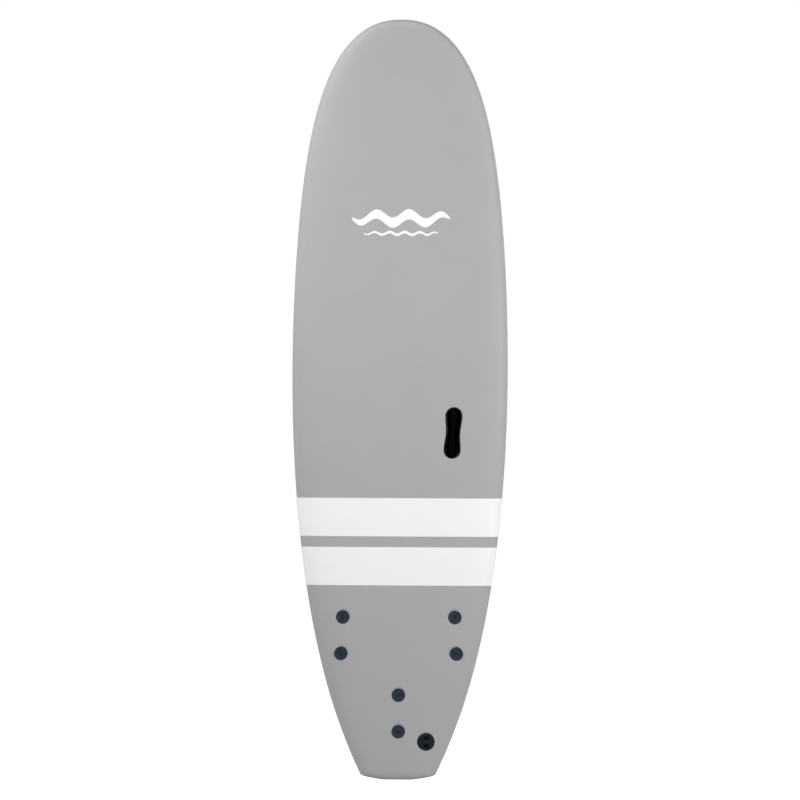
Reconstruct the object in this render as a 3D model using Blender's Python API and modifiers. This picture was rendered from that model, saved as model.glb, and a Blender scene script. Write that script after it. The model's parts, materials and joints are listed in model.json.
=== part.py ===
"""A foam-topped surfboard, 6 ft 6 in x 22 1/4 in x 3 1/8 in, with three bolt-through fins.

Metres. +Z runs along the board from tail to nose, the deck faces -Y, and the fins point to +Y.
The origin is the middle of the flat end of the tail.
"""

import math

import bmesh
import bpy
from mathutils import Matrix, Vector

# Outline, seen from the deck
LENGTH = 1.981
HALF_WIDTH = 0.2815
WIDE_POINT = 1.060
NOSE_BLEND = 0.35
NOSE_POWER = 5.65
NOSE_ROUNDNESS = 2.24
TAIL_HALF_WIDTH = 0.0921
TAIL_BLEND = 0.279
TAIL_POWER = 4.85
TAIL_CORNER = 0.013
TAIL_FLAT = 0.42

# Foil and rocker, seen from the side
THICKNESS = 0.079
THICKEST_POINT = 1.000
NOSE_THINNING = 0.50
NOSE_FOIL_POWER = 2.6
TAIL_THINNING = 0.48
TAIL_FOIL_POWER = 2.2
NOSE_CLOSURE = 0.022
TAIL_CLOSURE = 0.020
TAIL_EDGE = 0.55
LOWEST_POINT = 0.950
NOSE_ROCKER = 0.112
NOSE_ROCKER_POWER = 2.6
TAIL_ROCKER = 0.048
TAIL_ROCKER_POWER = 2.4

# Cross-section: two half superellipses that meet at the rail
DECK_SHARE = 0.58
DECK_SQUARENESS = (5.0, 2.0)
BOTTOM_SQUARENESS = (8.0, 2.5)

# Layers, as depths below the finished surface
GAP = 0.0003
SKIN_DEPTH = 0.005
SLICK_DEPTH = 0.0013
FILM_PROUD = 0.0008
CHINE = 0.025
CORE_END_TAIL = 0.012
CORE_END_NOSE = 0.014
SLICK_NOSE_SHORT = 0.003
SLICK_LEAST_SHARE = 0.35

# Stringers
STRINGER = 0.005
STRINGER_X = 0.103
CENTRE_STRINGER_START = 0.300

# White bands, and the emblem's two wavy ribbons
BAND = 0.100
BAND_STARTS = (0.5063, 0.6343)
EMBLEM_WAVE = {"length": 0.256, "z": 1.464, "sway": 0.011, "half_height": 0.013, "waves": 3}
EMBLEM_UNDERLINE = {"length": 0.196, "z": 1.425, "sway": 0.0035, "half_height": 0.003, "waves": 5}
RIBBON_TIP = 0.0008
RIBBON_POINTS = 30

# Fins and their bolts; each fin's place is the middle of its base on the bottom
SIDE_FIN_X = 0.1485
SIDE_FIN_Z = 0.3721
SIDE_FIN_TOE = 2.7
CENTRE_FIN_Z = 0.1675
BOLT_SPACING = 0.095
BOLT_HEAD_RADIUS = 0.0175
BOLT_HEAD_HEIGHT = 0.004
BOLT_SHANK_RADIUS = 0.004
BOLT_SINK = 0.0014
BOLT_EDGE = 0.0008
BOLT_ROOM = 0.0008
THREAD_ENGAGED = 0.012
SLOT_LENGTH = 0.015
SLOT_WIDTH = 0.0024
SLOT_DEPTH = 0.0016
WASHER_RADIUS = 0.0150
WASHER_HEIGHT = 0.0018
FLANGE_RADIUS = 0.0170
FLANGE_HEIGHT = 0.0020
SLEEVE_RADIUS = 0.0095
SLEEVE_BORE = 0.0078
POST_RADIUS = 0.0072
POST_LENGTH = 0.022
INSERT_RADIUS = 0.0055
INSERT_BORE = 0.0044
INSERT_LENGTH = 0.016
SOCKET_SPARE = 0.0015
FIN_BASE = (0.124, 0.028, 0.004)
FIN_CHORD = 0.116
FIN_DEPTH = 0.114
FIN_RAKE = 0.062
FIN_TIP = 0.16
FIN_FOIL = 0.0085
FIN_SEAT_GAP = 0.0008
BLADE_ROUNDNESS = 2.4
BLADE_RAKE_POWER = 1.7
BLADE_FOIL_POWER = 0.7
BLADE_TRAILING_SHARE = 0.25
BLADE_HEIGHTS = (0.0, 0.18, 0.36, 0.54, 0.70, 0.83, 0.93, 0.99)

# Grip handle let into the deck
HANDLE_X = 0.1388
HANDLE_Z = 0.905
HANDLE_TILT = 2.9
HANDLE_LOBE = 0.0215
HANDLE_WAIST = 0.0180
HANDLE_LOBE_SPACING = 0.090
HANDLE_DEPTH = 0.036
HANDLE_WALL = 0.0020
HANDLE_DRAFT = 0.0020
HANDLE_LIP = 0.0025
HANDLE_LIP_HEIGHT = 0.0020

# Leash plug
LEASH_X = 0.0725
LEASH_Z = 0.0991
LEASH_RADIUS = 0.0225
LEASH_FLANGE = 0.003
LEASH_CUP_RADIUS = 0.0185
LEASH_CUP_DEPTH = 0.024
LEASH_BAR = 0.010
LEASH_BAR_HEIGHT = 0.006
LEASH_SLOT = (0.0125, 0.0095)
LEASH_CHAMBER_DEPTH = 0.016
LEASH_EDGE = 0.001
LEASH_TUNNEL_OVERLAP = 0.002
LEASH_STUD_BORE = 0.0036
LEASH_STUD_DEPTH = 0.006
LEASH_STUD_SPARE = 0.001
BACKING_RADIUS = 0.0175
BACKING_HEIGHT = 0.0016
SCREW_HEAD_RADIUS = 0.0060
SCREW_HEAD_PROUD = 0.0004

# Mesh fineness
NOSE_STATIONS = 13
TAIL_STATIONS = 8
TAIL_CROWDING = 1.2
CORNER_STATIONS = 3
CORNER_CROWDING = 1.6
STATION_CLEAR = 0.0015
SECTION_POINTS = 16
FINE_ROUND = 16
COARSE_ROUND = 12
BLADE_POINTS = 12
LOBE_POINTS = 6
WAIST_POINTS = 4

# How far cutters reach past what they cut
OVERSHOOT = 0.02
BEYOND = 0.3


# --- The board's form -------------------------------------------------------------------


def outline(z):
    """Half-width at a height z above the tail."""
    if z >= WIDE_POINT:
        t = min(1.0, (z - WIDE_POINT) / (LENGTH - WIDE_POINT))
        fall = NOSE_BLEND * t**NOSE_POWER + (1 - NOSE_BLEND) * t * t
        return HALF_WIDTH * max(0.0, 1 - fall) ** (1 / NOSE_ROUNDNESS)
    t = (WIDE_POINT - z) / WIDE_POINT
    fall = TAIL_BLEND * t**TAIL_POWER + (1 - TAIL_BLEND) * t * t
    corner = max(0.0, 1 - z / TAIL_CORNER)
    width = HALF_WIDTH - (HALF_WIDTH - TAIL_HALF_WIDTH) * fall
    return width * (1 - (1 - TAIL_FLAT) * corner**2)


def closure(distance, reach, flat=0.0):
    """How far the thickness has opened at a distance in from an end that is rounded over a reach."""
    if distance >= reach:
        return 1.0
    u = 1 - max(0.0, distance) / reach
    return flat + (1 - flat) * math.sqrt(1 - u * u)


def foil(z):
    """Thickness before either end is rounded over."""
    if z > THICKEST_POINT:
        thinning = NOSE_THINNING * ((z - THICKEST_POINT) / (LENGTH - THICKEST_POINT)) ** NOSE_FOIL_POWER
    else:
        thinning = TAIL_THINNING * ((THICKEST_POINT - z) / THICKEST_POINT) ** TAIL_FOIL_POWER
    return THICKNESS * (1 - thinning)


def thickness(z):
    """Thickness on the middle line."""
    return foil(z) * closure(LENGTH - z, NOSE_CLOSURE) * closure(z, TAIL_CLOSURE, TAIL_EDGE)


def rocker(z):
    """How far the bottom's middle line is towards +Y; both ends lift to the deck's side."""
    if z > LOWEST_POINT:
        return -NOSE_ROCKER * ((z - LOWEST_POINT) / (LENGTH - LOWEST_POINT)) ** NOSE_ROCKER_POWER
    return -TAIL_ROCKER * ((LOWEST_POINT - z) / LOWEST_POINT) ** TAIL_ROCKER_POWER


def rail_line(z):
    """Y of the rail's widest line. The middle of the tail's flat end is at Y = 0."""
    bottom = rocker(z) - rocker(0)
    tail_end = (1 - DECK_SHARE) * foil(0) + (DECK_SHARE - 0.5) * thickness(0)
    return bottom + tail_end - (1 - DECK_SHARE) * foil(z)


def inward(z, depth):
    """The height on the finished form that a height on the layer at a depth answers to."""
    middle = LENGTH / 2
    return middle + (z - middle) * middle / (middle - depth)


def half_axes(z, depth):
    """Half-width, deck half-thickness and bottom half-thickness of the layer at a depth."""
    source = inward(z, depth)
    full = thickness(source)
    width = outline(source) - depth
    return width, DECK_SHARE * full - depth, (1 - DECK_SHARE) * full - depth


def section(z, depth):
    """The points of one cross-section, once around from the +X rail by way of the deck."""
    width, deck, bottom = half_axes(z, depth)
    points = []
    for k in range(SECTION_POINTS):
        angle = math.tau * k / SECTION_POINTS
        c, s = math.cos(angle), math.sin(angle)
        n, m = DECK_SQUARENESS if s >= 0 else BOTTOM_SQUARENESS
        x = math.copysign(abs(c) ** (2 / n), c) * width
        rise = abs(s) ** (2 / m)
        y = rail_line(z) - deck * rise if s >= 0 else rail_line(z) + bottom * rise
        points.append(Vector((x, y, z)))
    return points


def surface_y(x, z, side):
    """Y of the finished surface at x, z, on the deck (side -1) or the bottom (side +1)."""
    width, deck, bottom = half_axes(z, 0.0)
    n, m = DECK_SQUARENESS if side < 0 else BOTTOM_SQUARENESS
    rise = max(0.0, 1 - abs(x / width) ** n) ** (1 / m)
    return rail_line(z) + side * rise * (deck if side < 0 else bottom)


def surface_normal(x, z, side):
    """Outward unit normal of the finished surface."""
    step = 0.002
    slope_x = (surface_y(x + step, z, side) - surface_y(x - step, z, side)) / (2 * step)
    slope_z = (surface_y(x, z + step, side) - surface_y(x, z - step, side)) / (2 * step)
    return (Vector((-slope_x, 1.0, -slope_z)) * side).normalized()


def stations(start, end):
    """Heights of the cross-sections between two ends, closest together where the outline turns."""
    heights = {start, end}
    for k in range(CORNER_STATIONS + 1):
        heights.add(TAIL_CORNER * (k / CORNER_STATIONS) ** CORNER_CROWDING)
    for k in range(TAIL_STATIONS + 1):
        heights.add(TAIL_CORNER + (WIDE_POINT - TAIL_CORNER) * (k / TAIL_STATIONS) ** TAIL_CROWDING)
    for k in range(1, NOSE_STATIONS):
        heights.add(WIDE_POINT + (LENGTH - WIDE_POINT) * math.sin(math.pi / 2 * k / NOSE_STATIONS))
    inside = [z for z in heights if start + STATION_CLEAR < z < end - STATION_CLEAR]
    return [start, *sorted(inside), end]


# --- Making and joining objects ---------------------------------------------------------


def clear_scene():
    for old in list(bpy.data.objects):
        bpy.data.objects.remove(old, do_unlink=True)


def collection(name):
    made = bpy.data.collections.new(name)
    bpy.context.scene.collection.children.link(made)
    return made


def material(name, colour, roughness, metallic=0.0):
    made = bpy.data.materials.new(name)
    made.use_nodes = True
    made.diffuse_color = (*colour, 1.0)
    shader = made.node_tree.nodes["Principled BSDF"]
    shader.inputs["Base Color"].default_value = (*colour, 1.0)
    shader.inputs["Roughness"].default_value = roughness
    shader.inputs["Metallic"].default_value = metallic
    return made


clear_scene()
BOARD = collection("surfboard")
CUTTERS = collection("cutters")
GREY_FOAM = material("grey_foam", (0.43, 0.43, 0.43), 0.62)
WHITE_FILM = material("white_film", (0.88, 0.88, 0.88), 0.45)
CORE_FOAM = material("core_foam", (0.86, 0.86, 0.84), 0.85)
SLICK = material("slick_sheet", (0.80, 0.80, 0.80), 0.30)
WOOD = material("stringer_wood", (0.60, 0.42, 0.24), 0.60)
BLACK_PLASTIC = material("black_plastic", (0.012, 0.012, 0.012), 0.25)
FIN_PLASTIC = material("fin_plastic", (0.015, 0.015, 0.016), 0.35)
BOLT_PLASTIC = material("bolt_plastic", (0.014, 0.022, 0.030), 0.40)
RUBBER = material("seal_rubber", (0.02, 0.02, 0.02), 0.70)
BRASS = material("insert_brass", (0.72, 0.52, 0.25), 0.30, 1.0)
STEEL = material("stainless_steel", (0.62, 0.62, 0.62), 0.25, 1.0)


def place(name, mesh, surface):
    """An object for a mesh: a part if it has a material, or else a cutter."""
    made = bpy.data.objects.new(name, mesh)
    if surface:
        made.data.materials.append(surface)
        BOARD.objects.link(made)
    else:
        made.hide_render = True
        made.display_type = "WIRE"
        CUTTERS.objects.link(made)
    return made


def mesh_from(name, build):
    """A mesh filled by a function that is given an empty bmesh."""
    shape = bmesh.new()
    build(shape)
    bmesh.ops.recalc_face_normals(shape, faces=shape.faces)
    mesh = bpy.data.meshes.new(name)
    shape.to_mesh(mesh)
    shape.free()
    return mesh


def boolean(target, cutter, operation="DIFFERENCE"):
    modifier = target.modifiers.new(f"{operation.lower()}_{cutter.name}", "BOOLEAN")
    modifier.object = cutter
    modifier.operation = operation
    modifier.solver = "EXACT"
    return target


def rings_to_faces(shape, rings, cap_start=True, cap_end=True):
    """Joins rings of equally many points with quads, and closes the ends."""
    rows = [[shape.verts.new(p) for p in ring] for ring in rings]
    count = len(rows[0])
    for low, high in zip(rows, rows[1:]):
        for k in range(count):
            after = (k + 1) % count
            shape.faces.new((low[k], low[after], high[after], high[k]))
    if cap_start:
        shape.faces.new(rows[0])
    if cap_end:
        shape.faces.new(rows[-1])
    return rows


def layer(name, depth, surface=None, inset=0.0):
    """The board's form at a depth below its finished surface, cut off flat short of both ends."""

    def build(shape):
        heights = stations(CORE_END_TAIL + inset, LENGTH - CORE_END_NOSE - inset)
        rings_to_faces(shape, [section(z, depth) for z in heights])

    return place(name, mesh_from(name, build), surface)


def whole_board(name, surface):
    """The board's finished form, from the flat end of the tail to the tip of the nose."""

    def build(shape):
        rings = [section(z, 0.0) for z in stations(0.0, LENGTH)[:-1]]
        last = rings_to_faces(shape, rings, cap_end=False)[-1]
        tip = shape.verts.new((0.0, rail_line(LENGTH), LENGTH))
        for k, vertex in enumerate(last):
            shape.faces.new((vertex, last[(k + 1) % SECTION_POINTS], tip))

    return place(name, mesh_from(name, build), surface)


def box(name, low, high, surface=None):
    """A box between two corners."""

    def build(shape):
        bmesh.ops.create_cube(shape, size=1.0)
        size = Vector(high) - Vector(low)
        bmesh.ops.scale(shape, vec=size, verts=shape.verts)
        bmesh.ops.translate(shape, vec=(Vector(high) + Vector(low)) / 2, verts=shape.verts)

    return place(name, mesh_from(name, build), surface)


def joined(name, pieces):
    """Several cutters, clear of each other, as one cutter."""
    shape = bmesh.new()
    for piece in pieces:
        copy = bpy.data.meshes.new_from_object(piece.evaluated_get(bpy.context.evaluated_depsgraph_get()))
        copy.transform(piece.matrix_world)
        shape.from_mesh(copy)
    mesh = bpy.data.meshes.new(name)
    shape.to_mesh(mesh)
    shape.free()
    for piece in pieces:
        bpy.data.objects.remove(piece, do_unlink=True)
    return place(name, mesh, None)


def turned(name, profile, frame, surface=None, steps=FINE_ROUND):
    """A profile of (radius, height) points turned about the frame's Z axis.

    An open profile starts and ends on the axis; a ring's profile is closed by its first point.
    """
    mesh = bpy.data.meshes.new(name)
    on_axis = profile[0][0] == 0
    links = [(k, k + 1) for k in range(len(profile) - 1)]
    if not on_axis:
        links.append((len(profile) - 1, 0))
    mesh.from_pydata([(r, 0.0, h) for r, h in profile], links, [])
    made = place(name, mesh, surface)
    made.matrix_world = frame
    screw = made.modifiers.new("turn", "SCREW")
    screw.axis = "Z"
    screw.angle = math.tau
    screw.steps = steps
    screw.render_steps = steps
    screw.use_merge_vertices = True
    screw.merge_threshold = 0.00002
    return made


def stack(name, outline_at, levels, frame, surface=None):
    """A closed shape whose rings follow one flat outline, each at its own offset and height."""

    def build(shape):
        rings = [[Vector((u, v, height)) for u, v in outline_at(offset)] for offset, height in levels]
        rings_to_faces(shape, rings)
        bmesh.ops.transform(shape, matrix=frame, verts=shape.verts)

    return place(name, mesh_from(name, build), surface)


def frame_at(origin, along, outward):
    """A frame with Z outward, and X as near to a given direction as that allows."""
    outward = outward.normalized()
    across = outward.cross(along).normalized()
    along = across.cross(outward)
    frame = Matrix((along, across, outward)).transposed().to_4x4()
    frame.translation = origin
    return frame


# --- Foam, stringers, deck skin and bottom ----------------------------------------------


def footprint(name, inset):
    """The region of the bottom that the slick sheet covers, as a cutter from mid-thickness down."""

    def half_width(z):
        full = outline(inward(z, inset))
        return max(full - inset, SLICK_LEAST_SHARE * full)

    def build(shape):
        rings = []
        for z in stations(inset, LENGTH - inset - SLICK_NOSE_SHORT):
            x, top = half_width(z), rail_line(z)
            corners = ((x, top), (x, BEYOND), (-x, BEYOND), (-x, top))
            rings.append([Vector((px, py, z)) for px, py in corners])
        rings_to_faces(shape, rings)

    return place(name, mesh_from(name, build), None)


def core_form(name, surface):
    """The form that the core and its stringers fill together."""
    return layer(name, SKIN_DEPTH + 2 * GAP, surface, 2 * GAP)


def stringer_room(name, x, start, gap):
    half = STRINGER / 2 + gap
    return (name, (x - half, -BEYOND, start - gap), (x + half, BEYOND, LENGTH))


def make_core():
    """Four planks of core foam with three wooden stringers between them."""
    side = STRINGER_X - STRINGER / 2 - GAP
    outer = STRINGER_X + STRINGER / 2 + GAP
    far = HALF_WIDTH
    spans = {
        "core_plank_outer_left": (-far, -outer),
        "core_plank_inner_left": (-side, -GAP / 2),
        "core_plank_inner_right": (GAP / 2, side),
        "core_plank_outer_right": (outer, far),
    }
    parts = []
    for name, (low, high) in spans.items():
        plank = core_form(name, CORE_FOAM)
        boolean(plank, box(f"{name}_span", (low, -BEYOND, -BEYOND), (high, BEYOND, LENGTH)), "INTERSECT")
        parts.append(plank)
    slot = box(*stringer_room("centre_stringer_slot", 0.0, CENTRE_STRINGER_START, GAP))
    for plank in parts[1:3]:
        boolean(plank, slot)
    rooms = {
        "stringer_left": (-STRINGER_X, 0.0),
        "stringer_centre": (0.0, CENTRE_STRINGER_START),
        "stringer_right": (STRINGER_X, 0.0),
    }
    for name, (x, start) in rooms.items():
        stringer = core_form(name, WOOD)
        boolean(stringer, box(*stringer_room(f"{name}_span", x, start, 0.0)), "INTERSECT")
    return parts


def make_skins():
    """The foam skin over deck and rails, and the two layers of the bottom inside its edge."""
    lining = layer("skin_lining", SKIN_DEPTH)
    deck_skin = whole_board("deck_skin", GREY_FOAM)
    boolean(deck_skin, lining)
    boolean(deck_skin, footprint("bottom_opening", CHINE))
    inner_footprint = footprint("bottom_footprint", CHINE + GAP)
    slick = whole_board("bottom_slick", SLICK)
    boolean(slick, layer("slick_inside", SLICK_DEPTH))
    boolean(slick, inner_footprint, "INTERSECT")
    foam = layer("bottom_foam", SLICK_DEPTH + GAP, CORE_FOAM)
    boolean(foam, lining)
    boolean(foam, inner_footprint, "INTERSECT")
    return deck_skin, foam, slick


def film_over(name, region):
    """A thin film on the finished surface, inside a region."""
    outside = bpy.data.objects.get("film_outside")
    if outside is None:
        outside = layer("film_outside", -FILM_PROUD)
        layer("film_inside", -GAP)
    boolean(region, outside, "INTERSECT")
    boolean(region, bpy.data.objects["film_inside"])
    return region


def make_bands():
    """Two white bands that wrap the deck and both rails, down to the slick sheet's edge."""
    opening = footprint("band_opening", CHINE - GAP)
    for name, start in zip(("deck_band_rear", "deck_band_front"), BAND_STARTS):
        band = box(name, (-BEYOND, -BEYOND, start), (BEYOND, BEYOND, start + BAND), WHITE_FILM)
        boolean(film_over(name, band), opening)


def ribbon(name, length, z, sway, half_height, waves):
    """A tapering wavy ribbon across the board, as a prism through the deck's surface."""

    def edge(t, side):
        middle = sway * math.sin(math.pi * waves * t)
        reach = half_height * math.sqrt(max(0.0, 1 - t * t)) + RIBBON_TIP
        return (t * length / 2, middle + side * reach)

    def build(shape):
        steps = [math.sin(math.pi / 2 * (2 * k / RIBBON_POINTS - 1)) for k in range(RIBBON_POINTS + 1)]
        flat = [edge(t, 1) for t in steps] + [edge(t, -1) for t in reversed(steps)]
        rings = [[Vector((x, y, z + v)) for x, v in flat] for y in (-BEYOND, rail_line(z))]
        rings_to_faces(shape, rings)

    film_over(name, place(name, mesh_from(name, build), WHITE_FILM))


def make_emblem():
    """A generic wave: one bold ribbon, and a fine one below it."""
    ribbon("emblem_wave", **EMBLEM_WAVE)
    ribbon("emblem_underline", **EMBLEM_UNDERLINE)


# --- Fins and bolts ---------------------------------------------------------------------


def fin_frames():
    """Each fin's frame on the bottom: X to the nose, Z out of the bottom, and its outward side."""
    frames = {}
    places = {
        "left": (-SIDE_FIN_X, SIDE_FIN_Z, SIDE_FIN_TOE),
        "right": (SIDE_FIN_X, SIDE_FIN_Z, -SIDE_FIN_TOE),
        "centre": (0.0, CENTRE_FIN_Z, 0.0),
    }
    for name, (x, z, toe) in places.items():
        outward = surface_normal(0.0, z, 1)
        angle = math.radians(toe)
        along = Vector((math.sin(angle), 0.0, math.cos(angle)))
        frames[name] = frame_at(Vector((x, surface_y(x, z, 1), z)), along, outward)
    return frames


def depth_to_deck(frame):
    """How far the deck's surface is from a point on the bottom, along the frame's Z axis."""
    origin, down = frame.translation, -(frame.to_3x3() @ Vector((0, 0, 1)))
    distance = 0.05
    for _ in range(8):
        point = origin + down * distance
        distance += (point.y - surface_y(point.x, point.z, -1)) / -down.y
    return distance


def thickness_along(frame):
    """How far the bottom is from a point on the deck, against the frame's Z axis."""
    origin, inwards = frame.translation, -(frame.to_3x3() @ Vector((0, 0, 1)))
    distance = 0.05
    for _ in range(8):
        point = origin + inwards * distance
        distance += (surface_y(point.x, point.z, 1) - point.y) / inwards.y
    return distance


def bolt_frame(fin_frame, side):
    """A bolt's frame, with its origin on the deck's surface and Z pointing out of the deck."""
    base = fin_frame @ Matrix.Translation((side * BOLT_SPACING / 2, 0, 0))
    depth = depth_to_deck(base)
    turned_over = Matrix.Rotation(math.pi, 4, "X")
    return base @ Matrix.Translation((0, 0, -depth)) @ turned_over, depth


def bore_cutter(name, frame, depth):
    """The stepped hole for one bolt, from above the deck to below the bottom."""
    recess = BOLT_HEAD_RADIUS + BOLT_ROOM
    floor = -(BOLT_SINK + BOLT_HEAD_HEIGHT + WASHER_HEIGHT + FLANGE_HEIGHT + 3 * GAP)
    tube = SLEEVE_RADIUS + GAP
    over, through = OVERSHOOT, -depth - OVERSHOOT
    profile = [(0, over), (recess, over), (recess, floor), (tube, floor), (tube, through), (0, through)]
    return turned(name, profile, frame, None, COARSE_ROUND)


def make_bolt_set(name, frame, depth, slot_angle):
    """A bolt, the sealing washer under its head, and the flanged sleeve they clamp on."""
    top = -BOLT_SINK
    under = top - BOLT_HEAD_HEIGHT
    seal_top = under - GAP
    flange_top = seal_top - WASHER_HEIGHT - GAP
    flange_under = flange_top - FLANGE_HEIGHT
    post_top = -(depth - POST_LENGTH)
    tip = post_top - THREAD_ENGAGED
    r, shank = BOLT_HEAD_RADIUS, BOLT_SHANK_RADIUS
    head = [(0, top), (r - BOLT_EDGE, top), (r, top - BOLT_EDGE), (r, under), (shank, under)]
    bolt = turned(f"bolt_{name}", [*head, (shank, tip), (0, tip)], frame, BOLT_PLASTIC)
    slot = box(
        f"bolt_{name}_slot",
        (-SLOT_LENGTH / 2, -SLOT_WIDTH / 2, -SLOT_DEPTH),
        (SLOT_LENGTH / 2, SLOT_WIDTH / 2, SLOT_DEPTH),
    )
    slot.matrix_world = frame @ Matrix.Translation((0, 0, top)) @ Matrix.Rotation(slot_angle, 4, "Z")
    boolean(bolt, slot)
    hole = shank + GAP
    seal = [(WASHER_RADIUS, seal_top), (WASHER_RADIUS, seal_top - WASHER_HEIGHT)]
    seal += [(hole, seal_top - WASHER_HEIGHT), (hole, seal_top)]
    turned(f"bolt_{name}_seal", seal, frame, RUBBER, COARSE_ROUND)
    foot = -depth
    sleeve = [(FLANGE_RADIUS, flange_top), (FLANGE_RADIUS, flange_under), (SLEEVE_RADIUS, flange_under)]
    sleeve += [(SLEEVE_RADIUS, foot), (SLEEVE_BORE, foot), (SLEEVE_BORE, flange_top)]
    turned(f"bolt_{name}_sleeve", sleeve, frame, BLACK_PLASTIC, COARSE_ROUND)


def blade_section(height):
    """The foil at a share of the blade's height: chord points, from tail edge round to tail edge."""
    rise = height * FIN_DEPTH
    chord = FIN_CHORD * (FIN_TIP + (1 - FIN_TIP) * math.sqrt(max(0.0, 1 - height**BLADE_ROUNDNESS)))
    trailing = -FIN_CHORD / 2 - FIN_RAKE * height**BLADE_RAKE_POWER
    half = FIN_FOIL / 2 * (chord / FIN_CHORD) ** BLADE_FOIL_POWER
    ring = []
    for k in range(BLADE_POINTS):
        angle = math.tau * k / BLADE_POINTS
        along = (1 + math.cos(angle)) / 2
        fullness = BLADE_TRAILING_SHARE + (1 - BLADE_TRAILING_SHARE) * math.sqrt(along)
        bulge = math.sin(angle) * half * fullness
        ring.append((trailing + chord * along, bulge, rise))
    return ring


def make_fin(name, frame, cant):
    """A raked blade on a flat base, with two posts that reach up into the sleeves."""
    half_length, half_width, height = FIN_BASE[0] / 2, FIN_BASE[1] / 2, FIN_BASE[2]

    def base_outline(_offset):
        points = []
        for k in range(2 * COARSE_ROUND):
            angle = math.pi * k / COARSE_ROUND
            shift = math.copysign(half_length - half_width, math.cos(angle))
            points.append((shift + half_width * math.cos(angle), half_width * math.sin(angle)))
        return points

    seat = FIN_SEAT_GAP
    fin = stack(f"fin_{name}", base_outline, [(0, seat), (0, seat + height)], frame, FIN_PLASTIC)

    def build_blade(shape):
        rings = [[Vector(p) for p in blade_section(h)] for h in BLADE_HEIGHTS]
        rings_to_faces(shape, rings)
        lean = Matrix.Translation((0, 0, seat + height / 2)) @ Matrix.Rotation(math.radians(cant), 4, "X")
        bmesh.ops.transform(shape, matrix=frame @ lean, verts=shape.verts)

    boolean(fin, place(f"fin_{name}_blade", mesh_from("blade", build_blade), None), "UNION")
    for end, side in (("front", 1), ("rear", -1)):
        at = frame @ Matrix.Translation((side * BOLT_SPACING / 2, 0, 0))
        top, foot = -POST_LENGTH, seat + height / 2
        floor = top + INSERT_LENGTH + SOCKET_SPARE
        profile = [(0, foot), (POST_RADIUS, foot), (POST_RADIUS, top), (0, top)]
        boolean(fin, turned(f"fin_{name}_{end}_post", profile, at, None, COARSE_ROUND), "UNION")
        socket = INSERT_RADIUS + GAP
        hole = [(0, floor), (socket, floor), (socket, top - OVERSHOOT), (0, top - OVERSHOOT)]
        boolean(fin, turned(f"fin_{name}_{end}_socket", hole, at, None, COARSE_ROUND))
        low = top + INSERT_LENGTH
        ring = [(INSERT_RADIUS, low), (INSERT_RADIUS, top), (INSERT_BORE, top), (INSERT_BORE, low)]
        turned(f"fin_{name}_insert_{end}", ring, at, BRASS, COARSE_ROUND)


SLOT_ANGLES = {
    "left_front": 90,
    "left_rear": 125,
    "right_front": 60,
    "right_rear": 6,
    "centre_front": 13,
    "centre_rear": -4,
}
CANTS = {"left": 6.0, "right": -6.0, "centre": 0.0}


def make_fins_and_bolts():
    """All three fins with their bolt sets; gives the cutter for all six bolt holes."""
    bores = []
    for name, frame in fin_frames().items():
        make_fin(name, frame, CANTS[name])
        for end, side in (("front", 1), ("rear", -1)):
            label = f"{name}_{end}"
            at, depth = bolt_frame(frame, side)
            across = at.to_3x3().inverted() @ Vector((1, 0, 0))
            level = math.atan2(across.y, across.x)
            slot_angle = level + math.radians(SLOT_ANGLES[label])
            make_bolt_set(label, at, depth, slot_angle)
            bores.append(bore_cutter(f"bore_{label}", at, depth))
    bpy.context.view_layer.update()
    return joined("bolt_bores", bores)


# --- Grip handle ------------------------------------------------------------------------


def handle_outline(offset):
    """The edge of the handle's lip, two round lobes joined by a waist, grown by an offset."""
    lobe, waist, reach = HANDLE_LOBE + offset, HANDLE_WAIST + offset, HANDLE_LOBE_SPACING / 2
    side = []
    for k in range(LOBE_POINTS + 1):
        angle = math.pi / 2 * k / LOBE_POINTS
        side.append((reach + lobe * math.cos(angle), lobe * math.sin(angle)))
    for k in range(1, WAIST_POINTS):
        along = reach * (1 - k / WAIST_POINTS)
        side.append((along, waist + (lobe - waist) * (1 - math.cos(math.pi * along / reach)) / 2))
    side.append((0.0, waist))
    back = [(-u, v) for u, v in reversed(side[:-1])]
    top = side + back
    return top + [(u, -v) for u, v in reversed(top[1:-1])]


def make_handle():
    """The moulded handle cup; gives the cutter for its pocket."""
    outward = surface_normal(HANDLE_X, HANDLE_Z, -1)
    tilt = math.radians(HANDLE_TILT)
    along = Vector((math.sin(tilt), 0.0, math.cos(tilt)))
    origin = Vector((HANDLE_X, surface_y(HANDLE_X, HANDLE_Z, -1), HANDLE_Z))
    frame = frame_at(origin, along, outward)
    wall = -HANDLE_LIP
    inside = wall - HANDLE_WALL
    levels = [
        (inside - HANDLE_DRAFT, HANDLE_WALL - HANDLE_DEPTH),
        (inside, 0.0),
        (0.0, 0.0),
        (0.0, -HANDLE_LIP_HEIGHT),
        (wall, -HANDLE_LIP_HEIGHT),
        (wall - HANDLE_DRAFT, -HANDLE_DEPTH),
    ]
    stack("handle_cup", handle_outline, levels, frame, BLACK_PLASTIC)
    room = [
        (2 * GAP, OVERSHOOT),
        (2 * GAP, -HANDLE_LIP_HEIGHT - GAP),
        (wall + GAP, -HANDLE_LIP_HEIGHT - GAP),
        (wall + GAP, -HANDLE_DEPTH - GAP),
    ]
    return stack("handle_pocket", handle_outline, room, frame)


# --- Leash plug -------------------------------------------------------------------------


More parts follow.
